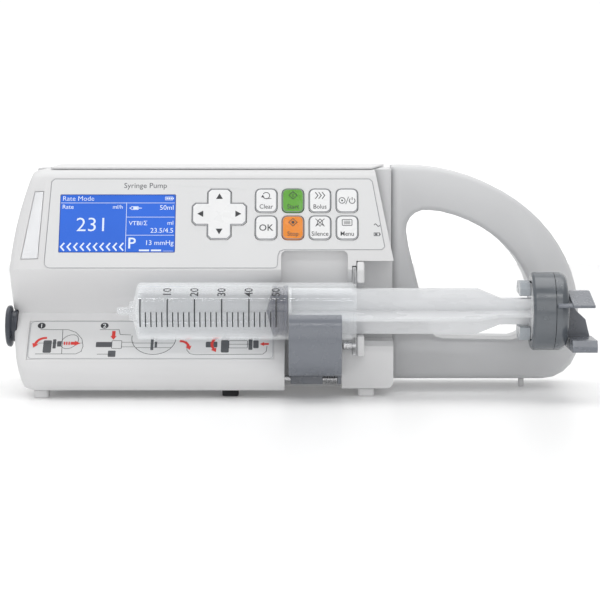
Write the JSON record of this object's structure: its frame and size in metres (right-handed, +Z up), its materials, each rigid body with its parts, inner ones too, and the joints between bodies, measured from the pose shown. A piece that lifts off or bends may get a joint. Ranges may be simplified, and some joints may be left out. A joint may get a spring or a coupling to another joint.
{
  "type": "syringe pump",
  "caption": "Bench syringe pump with a sloped control panel, carrying handle, loaded syringe, barrel clamp and a sliding pusher with squeeze levers.",
  "frame": {"origin": "centre of the overall box at bench level", "axes": "+X along the syringe towards the pusher, +Y away from the user, +Z up"},
  "size_m": [0.3242, 0.115, 0.1257],
  "materials": {
    "white_housing": "fine satin moulded",
    "pale_handle": "fine satin moulded",
    "panel_film": "matt film",
    "screen": "clear glossy window over a blue display",
    "key_white": "satin",
    "key_green": "satin",
    "key_orange": "satin",
    "grey_plastic": "satin moulded",
    "dark_plastic": "matt",
    "clear_plastic": "clear moulded",
    "black_rubber": "matt",
    "steel": "turned",
    "brass": "machined",
    "aluminium": "bead blasted",
    "circuit_board": "solder mask"
  },
  "bodies": {
    "case": {"front_case": "white_housing", "rear_case": "white_housing", "handle_front": "pale_handle", "handle_rear": "pale_handle", "top_plate": "white_housing", "membrane_panel": "panel_film", "lcd_window": "screen", "lcd_module": "dark_plastic", "main_board": "circuit_board", "key_board": "circuit_board", "alarm_lens": "clear_plastic", "instruction_label": "panel_film", "line_hook": "dark_plastic", "foot_front_left": "white_housing", "foot_front_middle": "black_rubber", "foot_front_right": "white_housing", "foot_rear_left": "black_rubber", "foot_rear_right": "black_rubber", "handle_foot": "white_housing", "clamp_pin": "steel", "clamp_spring": "steel", "flange_clip": "white_housing", "syringe_barrel": "clear_plastic", "tube_bush": "dark_plastic", "screw_bearing_left": "steel", "screw_bearing_right": "steel", "guide_rod": "steel", "drive_frame": "aluminium", "motor": "steel", "battery_pack": "dark_plastic", "battery_door": "white_housing", "ac_inlet": "dark_plastic"},
    "pusher": {"carriage": "grey_plastic", "drive_tube": "steel", "pusher_ring": "grey_plastic", "pusher_cap": "grey_plastic", "pressure_plate": "steel", "force_sensor": "steel", "lever_pin": "steel"},
    "plunger": {"syringe_plunger": "clear_plastic", "syringe_stopper": "black_rubber"},
    "half_nut": {"half_nut": "brass"},
    "release_rod": {"release_rod": "steel"},
    "upper_claw": {"upper_claw": "grey_plastic"},
    "lower_claw": {"lower_claw": "grey_plastic"},
    "upper_lever": {"upper_lever": "grey_plastic"},
    "lower_lever": {"lower_lever": "grey_plastic"},
    "clamp": {"barrel_clamp": "grey_plastic"},
    "screw": {"lead_screw": "steel", "screw_gear": "brass"},
    "pinion": {"motor_pinion": "brass"},
    "key_clear": {"key_clear": "key_white"},
    "key_start": {"key_start": "key_green"},
    "key_bolus": {"key_bolus": "key_white"},
    "key_power": {"key_power": "key_white"},
    "key_ok": {"key_ok": "key_white"},
    "key_stop": {"key_stop": "key_orange"},
    "key_silence": {"key_silence": "key_white"},
    "key_menu": {"key_menu": "key_white"},
    "key_dpad": {"key_dpad": "key_white"}
  },
  "joints": [
    {"name": "pusher_slide", "type": "slide", "parent": "case", "child": "pusher", "axis": [1, 0, 0], "range_m": [-0.0685, 0.008]},
    {"name": "plunger_slide", "type": "slide", "parent": "case", "child": "plunger", "axis": [1, 0, 0], "range_m": [-0.0685, 0.008]},
    {"name": "upper_lever_squeeze", "type": "hinge", "parent": "pusher", "child": "upper_lever", "pos_m": [0.14465, -0.0305, 0.0476], "axis": [0, 1, 0], "range_deg": [0, 9], "stiffness_Nm_per_rad": 0.3, "springref_deg": -5.73},
    {"name": "lower_lever_squeeze", "type": "hinge", "parent": "pusher", "child": "lower_lever", "pos_m": [0.14465, -0.0305, 0.0476], "axis": [0, -1, 0], "range_deg": [0, 9.5]},
    {"name": "upper_claw_swing", "type": "hinge", "parent": "pusher", "child": "upper_claw", "pos_m": [0.12565, -0.015, 0.0591], "axis": [-1, 0, 0], "range_deg": [0, 35.5]},
    {"name": "lower_claw_swing", "type": "hinge", "parent": "pusher", "child": "lower_claw", "pos_m": [0.12565, -0.015, 0.0361], "axis": [1, 0, 0], "range_deg": [0, 35.5]},
    {"name": "release_rod_turn", "type": "hinge", "parent": "pusher", "child": "release_rod", "pos_m": [0.07165, -0.0005, 0.0462], "axis": [1, 0, 0], "range_deg": [0, 40.5]},
    {"name": "half_nut_lift", "type": "hinge", "parent": "pusher", "child": "half_nut", "pos_m": [0.02465, 0.022, 0.0475], "axis": [-1, 0, 0], "range_deg": [0, 14.5]},
    {"name": "clamp_flip", "type": "hinge", "parent": "case", "child": "clamp", "pos_m": [0.00965, -0.0255, 0.0095], "axis": [1, 0, 0], "range_deg": [0, 35], "stiffness_Nm_per_rad": 0.08, "springref_deg": -28.65},
    {"name": "screw_spin", "type": "hinge", "parent": "case", "child": "screw", "pos_m": [0.00165, 0.0135, 0.047], "axis": [1, 0, 0], "continuous": true},
    {"name": "pinion_spin", "type": "hinge", "parent": "case", "child": "pinion", "pos_m": [-0.08035, 0.0135, 0.0662], "axis": [1, 0, 0], "continuous": true},
    {"name": "key_clear_press", "type": "slide", "parent": "case", "child": "key_clear", "axis": [0, 0.9011, -0.4337], "range_m": [0, 0.0009], "stiffness_N_per_m": 900, "springref_m": -0.0006},
    {"name": "key_start_press", "type": "slide", "parent": "case", "child": "key_start", "axis": [0, 0.9011, -0.4337], "range_m": [0, 0.0009], "stiffness_N_per_m": 900, "springref_m": -0.0006},
    {"name": "key_bolus_press", "type": "slide", "parent": "case", "child": "key_bolus", "axis": [0, 0.9011, -0.4337], "range_m": [0, 0.0009], "stiffness_N_per_m": 900, "springref_m": -0.0006},
    {"name": "key_power_press", "type": "slide", "parent": "case", "child": "key_power", "axis": [0, 0.9011, -0.4337], "range_m": [0, 0.0009], "stiffness_N_per_m": 900, "springref_m": -0.0006},
    {"name": "key_ok_press", "type": "slide", "parent": "case", "child": "key_ok", "axis": [0, 0.9011, -0.4337], "range_m": [0, 0.0009], "stiffness_N_per_m": 900, "springref_m": -0.0006},
    {"name": "key_stop_press", "type": "slide", "parent": "case", "child": "key_stop", "axis": [0, 0.9011, -0.4337], "range_m": [0, 0.0009], "stiffness_N_per_m": 900, "springref_m": -0.0006},
    {"name": "key_silence_press", "type": "slide", "parent": "case", "child": "key_silence", "axis": [0, 0.9011, -0.4337], "range_m": [0, 0.0009], "stiffness_N_per_m": 900, "springref_m": -0.0006},
    {"name": "key_menu_press", "type": "slide", "parent": "case", "child": "key_menu", "axis": [0, 0.9011, -0.4337], "range_m": [0, 0.0009], "stiffness_N_per_m": 900, "springref_m": -0.0006},
    {"name": "key_dpad_press", "type": "slide", "parent": "case", "child": "key_dpad", "axis": [0, 0.9011, -0.4337], "range_m": [0, 0.0009], "stiffness_N_per_m": 900, "springref_m": -0.0006}
  ],
  "couplings": [
    {"joint": "plunger_slide", "follows": "pusher_slide", "ratio": 1},
    {"joint": "lower_lever_squeeze", "follows": "upper_lever_squeeze", "ratio": 1},
    {"joint": "upper_claw_swing", "follows": "upper_lever_squeeze", "ratio": 3.8889},
    {"joint": "lower_claw_swing", "follows": "upper_lever_squeeze", "ratio": 3.8889},
    {"joint": "release_rod_turn", "follows": "upper_lever_squeeze", "ratio": 4.4444},
    {"joint": "half_nut_lift", "follows": "upper_lever_squeeze", "ratio": 1.5556},
    {"joint": "pinion_spin", "follows": "screw_spin", "ratio": -3}
  ]
}
